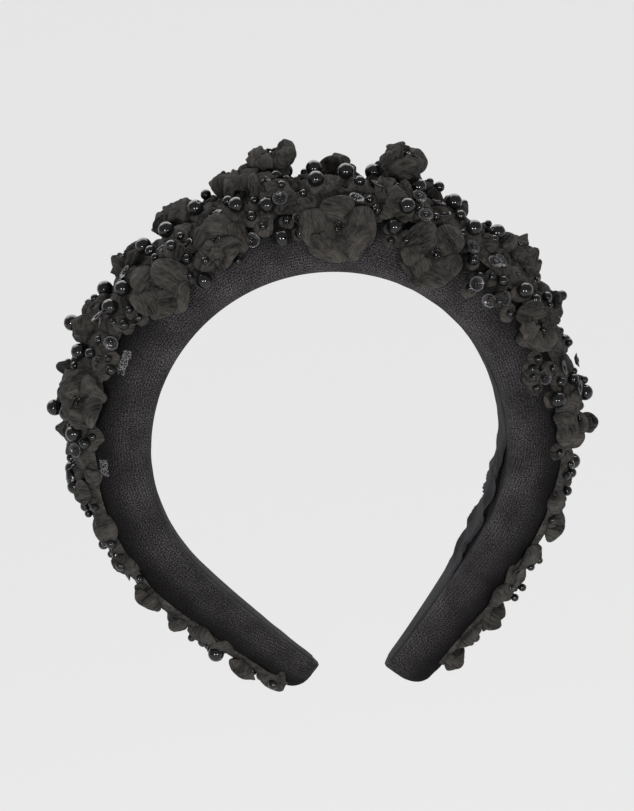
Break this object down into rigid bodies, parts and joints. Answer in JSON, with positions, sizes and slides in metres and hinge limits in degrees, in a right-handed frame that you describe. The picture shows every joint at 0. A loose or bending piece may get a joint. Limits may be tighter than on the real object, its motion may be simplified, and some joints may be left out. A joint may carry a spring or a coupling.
{
  "type": "headband",
  "caption": "Padded velvet headband, open at the nape, sewn over with dark crepe flowers, glossy round beads and cup sequins.",
  "frame": {"origin": "centre of the circle that the lining follows round the wearer's head", "axes": "+Z towards the crown, -Y the front of the band when worn, +X along the width of the head"},
  "size_m": [0.2008, 0.0551, 0.2072],
  "materials": {
    "spring_core": "semi-gloss",
    "foam": "matt open foam",
    "ribbed_velvet": "soft pile with fine ribs",
    "lining_ribbon": "satin",
    "backing_crepe": "matt",
    "crepe": "matt",
    "black_bead": "polished",
    "grey_sequin": "pearly, slightly see-through",
    "silver_tulle": "fine glittering net"
  },
  "bodies": {
    "root": {"core_band": "spring_core", "crepe_flower_01": "crepe", "crepe_flower_02": "crepe", "crepe_flower_03": "crepe", "crepe_flower_04": "crepe", "crepe_flower_05": "crepe", "crepe_flower_06": "crepe", "crepe_flower_07": "crepe", "crepe_flower_08": "crepe", "crepe_flower_09": "crepe", "crepe_flower_10": "crepe", "crepe_flower_11": "crepe", "crepe_flower_12": "crepe", "crepe_flower_13": "crepe", "crepe_flower_14": "crepe", "crepe_flower_15": "crepe", "crepe_flower_16": "crepe", "crepe_flower_17": "crepe", "crepe_flower_18": "crepe", "crepe_flower_19": "crepe", "crepe_flower_20": "crepe", "crepe_flower_21": "crepe", "crepe_flower_22": "crepe", "crepe_flower_23": "crepe", "crepe_flower_24": "crepe", "crepe_flower_25": "crepe", "crepe_flower_26": "crepe", "crepe_flower_27": "crepe", "crepe_flower_28": "crepe", "crepe_puff_01": "crepe", "crepe_puff_02": "crepe", "crepe_puff_03": "crepe", "crepe_puff_04": "crepe", "crepe_puff_05": "crepe", "crepe_puff_06": "crepe", "crepe_puff_07": "crepe", "crepe_puff_08": "crepe", "crepe_puff_09": "crepe", "crepe_puff_10": "crepe", "crepe_puff_11": "crepe", "crepe_puff_12": "crepe", "cup_sequins_crown": "grey_sequin", "cup_sequins_left": "grey_sequin", "cup_sequins_right": "grey_sequin", "foam_pad": "foam", "inner_lining": "lining_ribbon", "large_beads_crown": "black_bead", "large_beads_left": "black_bead", "large_beads_right": "black_bead", "medium_beads_crown": "black_bead", "medium_beads_left": "black_bead", "medium_beads_right": "black_bead", "seed_beads": "black_bead", "small_beads_crown": "black_bead", "small_beads_left": "black_bead", "small_beads_right": "black_bead", "trim_backing": "backing_crepe", "tulle_patch_arm": "silver_tulle", "tulle_patch_side": "silver_tulle", "velvet_cover": "ribbed_velvet"}
  },
  "joints": []
}
